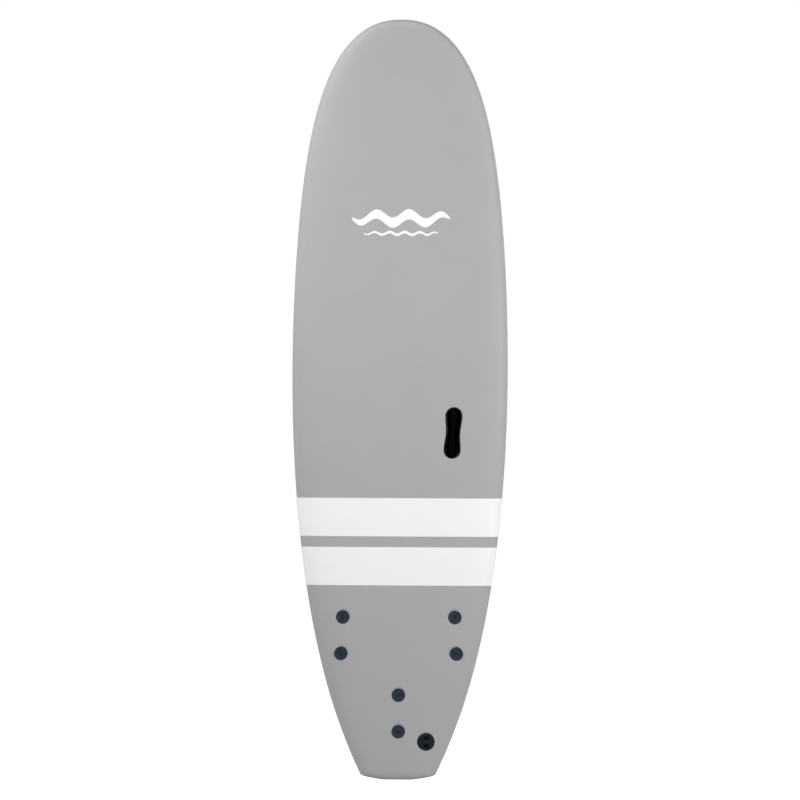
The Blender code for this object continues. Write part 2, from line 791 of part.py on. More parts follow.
def make_leash_plug():
    """The leash plug, its backing disc on the bottom and the screw between them; gives their cutter."""
    deck_normal = surface_normal(LEASH_X, LEASH_Z, -1)
    outward = deck_normal - surface_normal(LEASH_X, LEASH_Z, 1)
    origin = Vector((LEASH_X, surface_y(LEASH_X, LEASH_Z, -1), LEASH_Z))
    frame = frame_at(origin, Vector((0, 0, 1)), outward)
    depth = thickness_along(frame)
    top, under = 0.0, -LEASH_FLANGE
    cup, floor = LEASH_CUP_RADIUS, -LEASH_CUP_DEPTH
    bore = LEASH_STUD_BORE
    profile = [(0, top), (LEASH_RADIUS - LEASH_EDGE, top), (LEASH_RADIUS, top - LEASH_EDGE)]
    profile += [(LEASH_RADIUS, under), (cup, under), (cup, floor), (0, floor)]
    plug = turned("leash_plug", profile, frame, BLACK_PLASTIC, FINE_ROUND)
    width, length = LEASH_SLOT
    for side, label in ((1, "upper"), (-1, "lower")):
        near, far = LEASH_BAR / 2, LEASH_BAR / 2 + length
        low_x, high_x = sorted((side * near, side * far))
        hole = box(
            f"leash_opening_{label}",
            (low_x, -width / 2, -LEASH_CHAMBER_DEPTH),
            (high_x, width / 2, OVERSHOOT),
        )
        hole.matrix_world = frame
        boolean(plug, hole)
    tunnel = box(
        "leash_tunnel",
        (-LEASH_BAR / 2 - LEASH_TUNNEL_OVERLAP, -width / 2 + GAP, -LEASH_CHAMBER_DEPTH + GAP),
        (LEASH_BAR / 2 + LEASH_TUNNEL_OVERLAP, width / 2 - GAP, -LEASH_BAR_HEIGHT),
    )
    tunnel.matrix_world = frame
    boolean(plug, tunnel)
    blind = floor + LEASH_STUD_DEPTH
    stud = [(0, blind), (bore, blind), (bore, floor - OVERSHOOT), (0, floor - OVERSHOOT)]
    boolean(plug, turned("leash_stud_bore", stud, frame, None, COARSE_ROUND))

    foot, head, rim = -depth, SCREW_HEAD_RADIUS, BACKING_RADIUS
    disc_top, ledge = foot + BACKING_HEIGHT, foot + BACKING_HEIGHT / 2
    backing = [(rim, disc_top), (rim, foot), (head + GAP, foot), (head + GAP, ledge)]
    backing += [(bore, ledge), (bore, disc_top)]
    turned("leash_backing_disc", backing, frame, BLACK_PLASTIC, COARSE_ROUND)
    shank = bore - GAP
    tip, step, face = blind - LEASH_STUD_SPARE, ledge - GAP, foot - SCREW_HEAD_PROUD
    screw = [(0, tip), (shank, tip), (shank, step), (head, step), (head, face), (0, face)]
    turned("leash_screw", screw, frame, STEEL, COARSE_ROUND)

    room = LEASH_RADIUS + 2 * GAP
    hole = [(0, OVERSHOOT), (room, OVERSHOOT), (room, under - GAP), (cup + GAP, under - GAP)]
    hole += [(cup + GAP, floor - GAP), (bore + GAP, floor - GAP), (bore + GAP, disc_top + GAP)]
    hole += [(rim + GAP, disc_top + GAP), (rim + GAP, foot - OVERSHOOT), (0, foot - OVERSHOOT)]
    return turned("leash_bore", hole, frame, None, FINE_ROUND)


# --- The whole board --------------------------------------------------------------------


def main():
    planks = make_core()
    deck_skin, foam, slick = make_skins()
    make_bands()
    make_emblem()
    bolt_bores = make_fins_and_bolts()
    handle_pocket = make_handle()
    leash_bore = make_leash_plug()
    for drilled in (deck_skin, foam, slick, *planks):
        boolean(drilled, bolt_bores)
    for pocketed in (deck_skin, planks[3]):
        boolean(pocketed, handle_pocket)
    for drilled in (deck_skin, foam, slick, planks[2]):
        boolean(drilled, leash_bore)
    for made in BOARD.objects:
        made.data.shade_smooth()
        made.data.set_sharp_from_angle(angle=math.radians(35))


main()
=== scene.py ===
import json
import math

import bmesh
import bpy
import numpy as np
from mathutils import Matrix, Vector


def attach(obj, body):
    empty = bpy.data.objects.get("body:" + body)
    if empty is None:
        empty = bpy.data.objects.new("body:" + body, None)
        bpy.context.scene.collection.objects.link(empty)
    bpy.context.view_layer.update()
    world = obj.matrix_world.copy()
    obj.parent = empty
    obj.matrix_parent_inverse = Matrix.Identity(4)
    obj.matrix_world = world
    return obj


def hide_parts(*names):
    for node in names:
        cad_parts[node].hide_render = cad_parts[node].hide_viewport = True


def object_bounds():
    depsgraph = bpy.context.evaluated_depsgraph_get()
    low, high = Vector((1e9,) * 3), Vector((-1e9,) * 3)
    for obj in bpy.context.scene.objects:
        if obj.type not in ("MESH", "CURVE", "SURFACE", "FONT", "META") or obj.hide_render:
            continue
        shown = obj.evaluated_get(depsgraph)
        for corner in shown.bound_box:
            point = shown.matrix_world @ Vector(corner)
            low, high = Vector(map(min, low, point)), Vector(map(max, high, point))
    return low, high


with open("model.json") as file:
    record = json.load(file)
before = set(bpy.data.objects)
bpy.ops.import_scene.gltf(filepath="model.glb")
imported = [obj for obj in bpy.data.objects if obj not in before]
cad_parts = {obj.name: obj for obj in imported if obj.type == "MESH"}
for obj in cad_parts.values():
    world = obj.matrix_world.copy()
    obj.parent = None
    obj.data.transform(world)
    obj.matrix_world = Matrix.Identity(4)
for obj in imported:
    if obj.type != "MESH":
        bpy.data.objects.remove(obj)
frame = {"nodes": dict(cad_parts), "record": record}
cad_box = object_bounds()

# --- The board's form, as the CAD has it, in metres --------------------------------------

LENGTH = cad_box[1].z - cad_box[0].z
HALF_WIDTH = 0.2815
WIDE_POINT = 1.060
NOSE_BLEND = 0.35
NOSE_POWER = 5.65
NOSE_ROUNDNESS = 2.24
TAIL_HALF_WIDTH = 0.0921
TAIL_BLEND = 0.279
TAIL_POWER = 4.85
TAIL_CORNER = 0.013
TAIL_FLAT = 0.42
THICKNESS = 0.079
THICKEST_POINT = 1.000
NOSE_THINNING = 0.50
NOSE_FOIL_POWER = 2.6
TAIL_THINNING = 0.48
TAIL_FOIL_POWER = 2.2
NOSE_CLOSURE = 0.022
TAIL_CLOSURE = 0.020
TAIL_EDGE = 0.55
LOWEST_POINT = 0.950
NOSE_ROCKER = 0.112
NOSE_ROCKER_POWER = 2.6
TAIL_ROCKER = 0.048
TAIL_ROCKER_POWER = 2.4
DECK_SHARE = 0.58
DECK_SQUARENESS = (5.0, 2.0)
BOTTOM_SQUARENESS = (8.0, 2.5)
SKIN_DEPTH = 0.005
SLICK_DEPTH = 0.0013
CHINE = 0.025
CORE_END_TAIL = 0.012
CORE_END_NOSE = 0.014
BAND = 0.100
BAND_STARTS = {"deck_band_rear": 0.5063, "deck_band_front": 0.6343}

# Places of the fittings
SIDE_FIN_X = 0.1485
SIDE_FIN_Z = 0.3721
SIDE_FIN_TOE = 2.7
CENTRE_FIN_Z = 0.1675
BOLT_SPACING = 0.095
HANDLE_X = 0.1388
HANDLE_Z = 0.905
HANDLE_TILT = 2.9
LEASH_X = 0.0725
LEASH_Z = 0.0991

# Films: how far their two faces stand off the surface
FILM_OUTER = 0.0006
FILM_INNER = 0.0001
EMBLEM_WAVE = {"length": 0.256, "z": 1.464, "sway": 0.011, "half_height": 0.013, "waves": 3}
EMBLEM_UNDERLINE = {"length": 0.196, "z": 1.425, "sway": 0.0035, "half_height": 0.003, "waves": 5}

# Fineness of the visible surfaces
DECK_POINTS = 64
BOTTOM_POINTS = 56
UNDER_RAIL_POINTS = 12
RAIL_CROWDING = 0.08
STATION_STEP = 0.009
LINING_STEP = 0.030
FINE_END_STEPS = 14
FINE_TAIL_REACH = 0.024
FINE_NOSE_REACH = 0.060
EVEN_FROM_TAIL = 0.030
EVEN_FROM_NOSE = 0.064
LEAST_STATION_GAP = 0.0001

# Cutters: how far they reach past what they cut, and how round they leave the foam's edge
CUTTER_REACH = 0.02
HOLE_ROUND = 0.0016
FOOTPRINT_REACH = 0.2
FOOTPRINT_LEAST_SHARE = 0.35
FOOTPRINT_NOSE_GAP = 0.003


def outline(z):
    if z >= WIDE_POINT:
        t = min(1.0, (z - WIDE_POINT) / (LENGTH - WIDE_POINT))
        fall = NOSE_BLEND * t**NOSE_POWER + (1 - NOSE_BLEND) * t * t
        return HALF_WIDTH * max(0.0, 1 - fall) ** (1 / NOSE_ROUNDNESS)
    t = (WIDE_POINT - z) / WIDE_POINT
    fall = TAIL_BLEND * t**TAIL_POWER + (1 - TAIL_BLEND) * t * t
    corner = max(0.0, 1 - z / TAIL_CORNER)
    width = HALF_WIDTH - (HALF_WIDTH - TAIL_HALF_WIDTH) * fall
    return width * (1 - (1 - TAIL_FLAT) * corner**2)


def closure(distance, reach, flat=0.0):
    if distance >= reach:
        return 1.0
    u = 1 - max(0.0, distance) / reach
    return flat + (1 - flat) * math.sqrt(1 - u * u)


def foil(z):
    if z > THICKEST_POINT:
        along = (z - THICKEST_POINT) / (LENGTH - THICKEST_POINT)
        thinning = NOSE_THINNING * along**NOSE_FOIL_POWER
    else:
        along = (THICKEST_POINT - z) / THICKEST_POINT
        thinning = TAIL_THINNING * along**TAIL_FOIL_POWER
    return THICKNESS * (1 - thinning)


def thickness(z):
    return foil(z) * closure(LENGTH - z, NOSE_CLOSURE) * closure(z, TAIL_CLOSURE, TAIL_EDGE)


def rocker(z):
    if z > LOWEST_POINT:
        return -NOSE_ROCKER * ((z - LOWEST_POINT) / (LENGTH - LOWEST_POINT)) ** NOSE_ROCKER_POWER
    return -TAIL_ROCKER * ((LOWEST_POINT - z) / LOWEST_POINT) ** TAIL_ROCKER_POWER


def rail_line(z):
    bottom = rocker(z) - rocker(0)
    tail_end = (1 - DECK_SHARE) * foil(0) + (DECK_SHARE - 0.5) * thickness(0)
    return bottom + tail_end - (1 - DECK_SHARE) * foil(z)


def inward(z, depth):
    middle = LENGTH / 2
    return middle + (z - middle) * middle / (middle - depth)


def half_axes(z, depth):
    source = inward(z, depth)
    full = thickness(source)
    return outline(source) - depth, DECK_SHARE * full - depth, (1 - DECK_SHARE) * full - depth


def half_section(angle, width, height, squareness):
    """Points across one half of a cross-section, at angles from 0 at the +X rail to pi at the other."""
    n, m = squareness
    c, s = np.cos(angle), np.abs(np.sin(angle))
    return np.sign(c) * np.abs(c) ** (2 / n) * width, height * s ** (2 / m)


def even_angles(count, height, squareness):
    """Angles that space a half section's points evenly, and closer where the rail turns."""
    fine = np.linspace(0, math.pi, 4001)
    x, y = half_section(fine, HALF_WIDTH, height, squareness)
    heading = np.unwrap(np.arctan2(np.diff(y), np.diff(x)))
    pace = np.hypot(np.diff(x), np.diff(y))
    pace[1:] += RAIL_CROWDING * np.abs(np.diff(heading))
    travelled = np.concatenate(([0.0], np.cumsum(pace)))
    return np.interp(np.arange(count + 1) * travelled[-1] / count, travelled, fine)


DECK_ANGLES = even_angles(DECK_POINTS, DECK_SHARE * THICKNESS, DECK_SQUARENESS)
BOTTOM_ANGLES = even_angles(BOTTOM_POINTS, (1 - DECK_SHARE) * THICKNESS, BOTTOM_SQUARENESS)


def section(z, depth):
    """One cross-section's points, once around from the +X rail by way of the deck."""
    width, deck, bottom = half_axes(z, depth)
    deck_x, deck_rise = half_section(DECK_ANGLES, width, deck, DECK_SQUARENESS)
    bottom_x, bottom_rise = half_section(BOTTOM_ANGLES[1:-1], width, bottom, BOTTOM_SQUARENESS)
    x = np.concatenate((deck_x, bottom_x[::-1]))
    y = rail_line(z) + np.concatenate((-deck_rise, bottom_rise[::-1]))
    return np.column_stack((x, y, np.full_like(x, z)))


def wrap_section(z, depth):
    """A cross-section's points from chine to chine by way of the deck, without the flat of the bottom."""
    width, deck, bottom = half_axes(z, depth)
    last = math.acos((1 - CHINE / outline(z)) ** (BOTTOM_SQUARENESS[0] / 2))
    under = np.linspace(last, 0, UNDER_RAIL_POINTS + 1)[:-1]
    under_x, under_rise = half_section(under, width, bottom, BOTTOM_SQUARENESS)
    deck_x, deck_rise = half_section(DECK_ANGLES, width, deck, DECK_SQUARENESS)
    x = np.concatenate((under_x, deck_x, -under_x[::-1]))
    y = rail_line(z) + np.concatenate((under_rise, -deck_rise, under_rise[::-1]))
    return np.column_stack((x, y, np.full_like(x, z)))


def surface_y(x, z, side):
    """Y of the finished surface, on the deck (side -1) or the bottom (side +1)."""
    width, deck, bottom = half_axes(z, 0.0)
    n, m = DECK_SQUARENESS if side < 0 else BOTTOM_SQUARENESS
    rise = max(0.0, 1 - abs(x / width) ** n) ** (1 / m)
    return rail_line(z) + side * rise * (deck if side < 0 else bottom)


def surface_normal(x, z, side):
    step = 0.002
    slope_x = (surface_y(x + step, z, side) - surface_y(x - step, z, side)) / (2 * step)
    slope_z = (surface_y(x, z + step, side) - surface_y(x, z - step, side)) / (2 * step)
    return (Vector((-slope_x, 1.0, -slope_z)) * side).normalized()


def stations(start, end, step=STATION_STEP):
    """Even heights along the board, drawn together in the rounded ends."""
    heights = {start, end}
    for k in range(FINE_END_STEPS + 1):
        share = (k / FINE_END_STEPS) ** 2
        heights.add(FINE_TAIL_REACH * share)
        heights.add(LENGTH - FINE_NOSE_REACH * share)
    heights.update(np.arange(EVEN_FROM_TAIL, LENGTH - EVEN_FROM_NOSE, step).tolist())
    inside = [z for z in heights if start + LEAST_STATION_GAP < z < end - LEAST_STATION_GAP]
    return [start, *sorted(inside), end]


# --- Making meshes ------------------------------------------------------------------------

PIECES = bpy.data.collections.new("surfboard_looks")
bpy.context.scene.collection.children.link(PIECES)


def put(name, mesh):
    made = bpy.data.objects.new(name, mesh)
    PIECES.objects.link(made)
    return made


def mesh_from(name, build):
    """A mesh filled by a function that is given an empty bmesh."""
    shape = bmesh.new()
    build(shape)
    bmesh.ops.recalc_face_normals(shape, faces=shape.faces)
    mesh = bpy.data.meshes.new(name)
    shape.to_mesh(mesh)
    shape.free()
    return mesh


def rings_to_faces(shape, rings, cap_end=True):
    """Joins rings of equally many points with quads, and closes the start and, if asked, the end."""
    rows = [[shape.verts.new(p) for p in ring] for ring in rings]
    count = len(rows[0])
    for low, high in zip(rows, rows[1:]):
        for k in range(count):
            after = (k + 1) % count
            shape.faces.new((low[k], low[after], high[after], high[k]))
    shape.faces.new(rows[0])
    if cap_end:
        shape.faces.new(rows[-1])
    return rows


def whole_board(name):
    def build(shape):
        heights = stations(0.0, LENGTH)[:-1]
        rings = [section(z, 0.0) for z in heights]
        last = rings_to_faces(shape, rings, cap_end=False)[-1]
        tip = shape.verts.new((0.0, rail_line(LENGTH), LENGTH))
        for k, vertex in enumerate(last):
            shape.faces.new((vertex, last[(k + 1) % len(last)], tip))

    return put(name, mesh_from(name, build))


def layer(name, depth):
    """The board's form at a depth below its finished surface, cut off flat at both ends."""

    def build(shape):
        heights = stations(CORE_END_TAIL, LENGTH - CORE_END_NOSE, LINING_STEP)
        rings_to_faces(shape, [section(z, depth) for z in heights])

    return put(name, mesh_from(name, build))


def footprint(name, inset):
    """The region of the bottom that the slick sheet covers, from mid-thickness down."""

    def half_width(z):
        full = outline(inward(z, inset))
        return max(full - inset, FOOTPRINT_LEAST_SHARE * full)

    def build(shape):
        rings = []
        for z in stations(inset, LENGTH - inset - FOOTPRINT_NOSE_GAP, LINING_STEP):
            x, top, low = half_width(z), rail_line(z), FOOTPRINT_REACH
            rings.append([(x, top, z), (x, low, z), (-x, low, z), (-x, top, z)])
        rings_to_faces(shape, rings)

    return put(name, mesh_from(name, build))


def frame_at(origin, along, outward):
    """A frame with Z outward, and X as near to a given direction as that allows."""
    outward = outward.normalized()
    across = outward.cross(along).normalized()
    matrix = Matrix((across.cross(outward), across, outward)).transposed().to_4x4()
    matrix.translation = origin
    return matrix


def turned(name, profile, matrix, steps=64):
    """A profile of (radius, height) points, from axis to axis, turned about the frame's Z axis."""

    def build(shape):
        rows = []
        for radius, height in profile:
            if radius == 0:
                rows.append([shape.verts.new((0, 0, height))])
                continue
            angles = (math.tau * k / steps for k in range(steps))
            points = ((radius * math.cos(a), radius * math.sin(a), height) for a in angles)
            rows.append([shape.verts.new(p) for p in points])
        for one, two in zip(rows, rows[1:]):
            for k in range(steps):
                after = (k + 1) % steps
                corners = [one[k % len(one)], one[after % len(one)]]
                corners += [two[after % len(two)], two[k % len(two)]]
                shape.faces.new(list(dict.fromkeys(corners)))
        bmesh.ops.transform(shape, matrix=matrix, verts=shape.verts)

    return put(name, mesh_from(name, build))


def stack(name, outline_at, levels, matrix):
    """A closed shape whose rings follow one flat outline, each at its own offset and height."""

    def build(shape):
        rings = [[(u, v, height) for u, v in outline_at(offset)] for offset, height in levels]
        rings_to_faces(shape, rings)
        bmesh.ops.transform(shape, matrix=matrix, verts=shape.verts)

    return put(name, mesh_from(name, build))


def rounded_box(name, low, high, matrix, radius):
    """A box between two corners in a frame, with its edges rounded."""

    def build(shape):
        bmesh.ops.create_cube(shape, size=1.0)
        low_corner, high_corner = Vector(low), Vector(high)
        bmesh.ops.scale(shape, vec=high_corner - low_corner, verts=shape.verts)
        bmesh.ops.translate(shape, vec=(low_corner + high_corner) / 2, verts=shape.verts)
        edges = shape.edges[:]
        bmesh.ops.bevel(shape, geom=edges, offset=radius, segments=3, profile=0.5, affect="EDGES")
        bmesh.ops.transform(shape, matrix=matrix, verts=shape.verts)

    return put(name, mesh_from(name, build))


def arc(centre, radius, start, end, steps):
    """Points of (radius, height) along an arc, angles in degrees from the +radius direction."""
    points = []
    for k in range(steps + 1):
        angle = math.radians(start + (end - start) * k / steps)
        points.append((centre[0] + radius * math.cos(angle), centre[1] + radius * math.sin(angle)))
    return points


def cut(target, cutters, operation="DIFFERENCE"):
    """Cuts, keeps or joins with each cutter, for good. The cutters stay until they are dropped."""
    for cutter in cutters:
        modifier = target.modifiers.new("cut", "BOOLEAN")
        modifier.object = cutter
        modifier.operation = operation
        modifier.solver = "EXACT"
    evaluated = target.evaluated_get(bpy.context.evaluated_depsgraph_get())
    settled = bpy.data.meshes.new_from_object(evaluated)
    target.modifiers.clear()
    target.data = settled


def drop(*objects):
    for gone in objects:
        bpy.data.objects.remove(gone, do_unlink=True)


def together(name, parts):
    """Several closed meshes, clear of each other, as one object."""
    shape = bmesh.new()
    for part in parts:
        shape.from_mesh(part.data)
    mesh = bpy.data.meshes.new(name)
    shape.to_mesh(mesh)
    shape.free()
    drop(*parts)
    return put(name, mesh)


def finish_piece(piece, body, nodes, material, degrees):
    """Smooths a piece up to an angle, gives it its material and its body, and hides the CAD nodes it
    stands for.
    """
    piece.data.shade_smooth()
    piece.data.set_sharp_from_angle(angle=math.radians(degrees))
    piece.data.materials.clear()
    piece.data.materials.append(material)
    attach(piece, body)
    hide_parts(*nodes)


# --- Materials ----------------------------------------------------------------------------


class Nodes:
    """A material's node tree, with short calls for the nodes used here."""

    def __init__(self, name):
        self.material = bpy.data.materials.new(name)
        self.material.use_nodes = True
        self.tree = self.material.node_tree
        self.shader = self.tree.nodes["Principled BSDF"]
        self.position = self.add("ShaderNodeTexCoord").outputs["Object"]

    def add(self, kind, **values):
        node = self.tree.nodes.new(kind)
        for key, value in values.items():
            setattr(node, key, value)
        return node

    def link(self, source, target):
        self.tree.links.new(source, target)

    def noise(self, scale, detail=3.0, roughness=0.5, stretch=None):
        node = self.add("ShaderNodeTexNoise")
        node.inputs["Scale"].default_value = scale
        node.inputs["Detail"].default_value = detail
        node.inputs["Roughness"].default_value = roughness
        self.link(self.stretched(stretch), node.inputs["Vector"])
        return node.outputs["Fac"]

    def cells(self, scale):
        node = self.add("ShaderNodeTexVoronoi")
        node.inputs["Scale"].default_value = scale
        self.link(self.position, node.inputs["Vector"])
        return node.outputs["Distance"]

    def stretched(self, stretch):
        if stretch is None:
            return self.position
        node = self.add("ShaderNodeMapping")
        node.inputs["Scale"].default_value = stretch
        self.link(self.position, node.inputs["Vector"])
        return node.outputs["Vector"]

    def math(self, operation, one, two):
        node = self.add("ShaderNodeMath", operation=operation)
        for socket, value in zip(node.inputs, (one, two)):
            if isinstance(value, (int, float)):
                socket.default_value = value
            else:
                self.link(value, socket)
        return node.outputs["Value"]

    def ramp(self, source, stops):
        """A colour ramp through (place, colour) stops."""
        node = self.add("ShaderNodeValToRGB")
        elements = node.color_ramp.elements
        while len(elements) < len(stops):
            elements.new(0.5)
        for element, (place, colour) in zip(elements, stops):
            element.position = place
            element.color = (*colour, 1.0)
        self.link(source, node.inputs["Fac"])
        return node.outputs["Color"]

    def mapped(self, source, low, high, out_low, out_high):
        node = self.add("ShaderNodeMapRange")
        keys = ("From Min", "From Max", "To Min", "To Max")
        for key, value in zip(keys, (low, high, out_low, out_high)):
            node.inputs[key].default_value = value
        self.link(source, node.inputs["Value"])
        return node.outputs["Result"]

    def bumps(self, layers):
        """Bump nodes in a chain, one for each (height, strength, distance)."""
        normal = None
        for height, strength, distance in layers:
            bump = self.add("ShaderNodeBump")
            bump.inputs["Strength"].default_value = strength
            bump.inputs["Distance"].default_value = distance
            self.link(height, bump.inputs["Height"])
            if normal:
                self.link(normal, bump.inputs["Normal"])
            normal = bump.outputs["Normal"]
        self.link(normal, self.shader.inputs["Normal"])

    def set(self, **values):
        for key, value in values.items():
            socket = key.replace("_", " ").title().replace("Ior", "IOR")
            self.shader.inputs[socket].default_value = value

    def colour(self, source):
        self.link(source, self.shader.inputs["Base Color"])

    def roughness(self, source):
        self.link(source, self.shader.inputs["Roughness"])


def grey(value):
    return (value, value, value)


def foam_skin(name, shade, spread):
    """Closed-cell foam with a fine embossed pebble, faint hand-laid waviness and scuffed variation."""
    n = Nodes(name)
    fine = n.noise(900.0, 2.0)
    pebble = n.cells(420.0)
    cloud = n.noise(7.0, 4.0, 0.55)
    wave = n.noise(9.0, 1.0, 0.4, (1.0, 1.0, 0.45))
    darker, lighter = [c - spread for c in shade], [c + spread for c in shade]
    n.colour(n.ramp(cloud, [(0.30, darker), (0.70, lighter)]))
    n.roughness(n.mapped(fine, 0.3, 0.7, 0.50, 0.60))
    n.bumps([(wave, 0.35, 0.0016), (pebble, 0.22, 0.0005), (fine, 0.12, 0.0003)])
    n.set(specular_ior_level=0.35)
    return n.material


def printed_film(name, shade):
    """Thin white film over the foam: it takes the foam's pebble, softened, and shines a little more."""
    n = Nodes(name)
    fine = n.noise(700.0, 2.0)
    pebble = n.cells(420.0)
    cloud = n.noise(6.0, 3.0)
    n.colour(n.ramp(cloud, [(0.3, [c - 0.008 for c in shade]), (0.7, shade)]))
    n.roughness(n.mapped(fine, 0.3, 0.7, 0.38, 0.46))
    n.bumps([(pebble, 0.15, 0.0004), (fine, 0.06, 0.0002)])
    return n.material


def slick_sheet(name):
    """Extruded hard sheet: long faint drawing lines, a soft shine and light rub marks along the board."""
    n = Nodes(name)
    lines = n.noise(160.0, 3.0, 0.6, (1.0, 1.0, 0.02))
    rubs = n.noise(40.0, 6.0, 0.75, (1.0, 1.0, 0.06))
    cloud = n.noise(4.0, 3.0)
    shades = [(0.3, (0.795, 0.80, 0.805)), (0.7, (0.825, 0.83, 0.835))]
    n.colour(n.ramp(cloud, shades))
    n.roughness(n.mapped(rubs, 0.35, 0.75, 0.20, 0.38))
    n.bumps([(lines, 0.10, 0.0003), (cloud, 0.25, 0.002)])
    return n.material


def moulded_plastic(name, shade, rough, grain, grain_height, shine=0.5):
    """Moulded plastic with a fine spark-eroded grain and handled, slightly polished patches."""
    n = Nodes(name)
    fine = n.noise(grain, 3.0, 0.6)
    patch = n.noise(30.0, 4.0, 0.6)
    lighter = [c * 1.25 + 0.0005 for c in shade]
    n.colour(n.ramp(patch, [(0.35, shade), (0.75, lighter)]))
    n.roughness(n.mapped(patch, 0.3, 0.75, rough[0], rough[1]))
    n.bumps([(fine, 0.25, grain_height)])
    n.set(specular_ior_level=shine)
    return n.material


def bead_foam(name):
    """Expanded bead foam: packed round beads with fine dark joints."""
    n = Nodes(name)
    beads = n.cells(240.0)
    n.colour(n.ramp(beads, [(0.0, (0.88, 0.88, 0.87)), (0.6, (0.70, 0.70, 0.69))]))
    n.bumps([(beads, 0.6, 0.0012)])
    n.set(roughness=0.85)
    return n.material


def ply_wood(name):
    """Straight-grained wood, with the grain along the board."""
    n = Nodes(name)
    grain = n.noise(110.0, 6.0, 0.65, (1.0, 1.0, 0.035))
    browns = [(0.3, (0.42, 0.27, 0.14)), (0.5, (0.60, 0.42, 0.24)), (0.75, (0.70, 0.53, 0.33))]
    n.colour(n.ramp(grain, browns))
    n.roughness(n.mapped(grain, 0.3, 0.7, 0.50, 0.68))
    n.bumps([(grain, 0.3, 0.0004)])
    return n.material


def rubber(name):
    """Dull black rubber with a fine grain."""
    n = Nodes(name)
    fine = n.noise(1200.0, 3.0)
    n.colour(n.ramp(fine, [(0.3, grey(0.016)), (0.7, grey(0.026))]))
    n.bumps([(fine, 0.2, 0.0002)])
    n.set(roughness=0.7)
    return n.material


def turned_metal(name, shade, rough):
    """Metal with fine turning marks."""
    n = Nodes(name)
    marks = n.noise(1500.0, 4.0, 0.6, (0.15, 1.0, 0.15))
    n.roughness(n.mapped(marks, 0.3, 0.7, rough, rough + 0.15))
    n.colour(n.ramp(marks, [(0.2, [c * 0.85 for c in shade]), (0.8, shade)]))
    n.bumps([(marks, 0.15, 0.0001)])
    n.set(metallic=1.0)
    return n.material


GREY_FOAM = foam_skin("grey_foam", grey(0.385), 0.006)
WHITE_FILM = printed_film("white_film", grey(0.88))
SLICK = slick_sheet("slick_sheet")
HANDLE_PLASTIC = moulded_plastic("handle_plastic", grey(0.0008), (0.20, 0.30), 500.0, 0.0001, 0.14)
FIN_PLASTIC = moulded_plastic("fin_plastic", grey(0.012), (0.34, 0.48), 700.0, 0.0003)
BOLT_PLASTIC = moulded_plastic("bolt_plastic", (0.012, 0.025, 0.036), (0.42, 0.55), 900.0, 0.0002, 0.3)
PLUG_PLASTIC = moulded_plastic("plug_plastic", (0.004, 0.009, 0.014), (0.35, 0.50), 900.0, 0.0002, 0.25)
SLEEVE_PLASTIC = moulded_plastic("sleeve_plastic", grey(0.014), (0.40, 0.55), 900.0, 0.0002)
CORE_FOAM = bead_foam("core_foam")
WOOD = ply_wood("stringer_wood")
RUBBER = rubber("seal_rubber")
BRASS = turned_metal("insert_brass", (0.72, 0.52, 0.25), 0.22)
STEEL = turned_metal("stainless_steel", (0.62, 0.62, 0.63), 0.20)


# --- Frames of the fittings ---------------------------------------------------------------


def fin_frames():
    """Each fin's frame on the bottom: X to the nose, Z out of the bottom."""
    places = {
        "left": (-SIDE_FIN_X, SIDE_FIN_Z, SIDE_FIN_TOE),
        "right": (SIDE_FIN_X, SIDE_FIN_Z, -SIDE_FIN_TOE),
        "centre": (0.0, CENTRE_FIN_Z, 0.0),
    }
    frames = {}
    for name, (x, z, toe) in places.items():
        angle = math.radians(toe)
        along = Vector((math.sin(angle), 0.0, math.cos(angle)))
        frames[name] = frame_at(Vector((x, surface_y(x, z, 1), z)), along, surface_normal(0.0, z, 1))
    return frames


def depth_through(matrix, side):
    """How far it is from a frame, against its Z axis, to the deck (side -1) or the bottom (side +1)."""
    origin, inwards = matrix.translation, -(matrix.to_3x3() @ Vector((0, 0, 1)))
    distance = 0.05
    for _ in range(8):
        point = origin + inwards * distance
        distance += (surface_y(point.x, point.z, side) - point.y) / inwards.y
    return distance


def bolt_frame(fin_matrix, side):
    """A bolt's frame, with its origin on the deck and Z out of the deck, and the depth to the bottom."""
    base = fin_matrix @ Matrix.Translation((side * BOLT_SPACING / 2, 0, 0))
    depth = depth_through(base, -1)
    return base @ Matrix.Translation((0, 0, -depth)) @ Matrix.Rotation(math.pi, 4, "X"), depth


def leash_frame():
    outward = surface_normal(LEASH_X, LEASH_Z, -1) - surface_normal(LEASH_X, LEASH_Z, 1)
    origin = Vector((LEASH_X, surface_y(LEASH_X, LEASH_Z, -1), LEASH_Z))
    return frame_at(origin, Vector((0, 0, 1)), outward)


def handle_frame():
    tilt = math.radians(HANDLE_TILT)
    along = Vector((math.sin(tilt), 0.0, math.cos(tilt)))
    origin = Vector((HANDLE_X, surface_y(HANDLE_X, HANDLE_Z, -1), HANDLE_Z))
    return frame_at(origin, along, surface_normal(HANDLE_X, HANDLE_Z, -1))


FINS = fin_frames()
BOLTS = {
    f"{fin}_{end}": bolt_frame(matrix, side)
    for fin, matrix in FINS.items()
    for end, side in (("front", 1), ("rear", -1))
}
LEASH = leash_frame()
HANDLE = handle_frame()

# --- Grip handle --------------------------------------------------------------------------

HANDLE_LOBE = 0.0215
HANDLE_WAIST = 0.0180
HANDLE_LOBE_SPACING = 0.090
HANDLE_DEPTH = 0.034
LIP_ROUND = 0.0022
LIP_RISE = 0.0004
HANDLE_WALL_INSET = 0.0050
HANDLE_DRAFT = 0.0024
HANDLE_FLOOR = 0.002
HANDLE_FLOOR_ROUND = 0.0088
HANDLE_CROWN = (0.0174, 0.0003)
HANDLE_ROOM = 0.0006


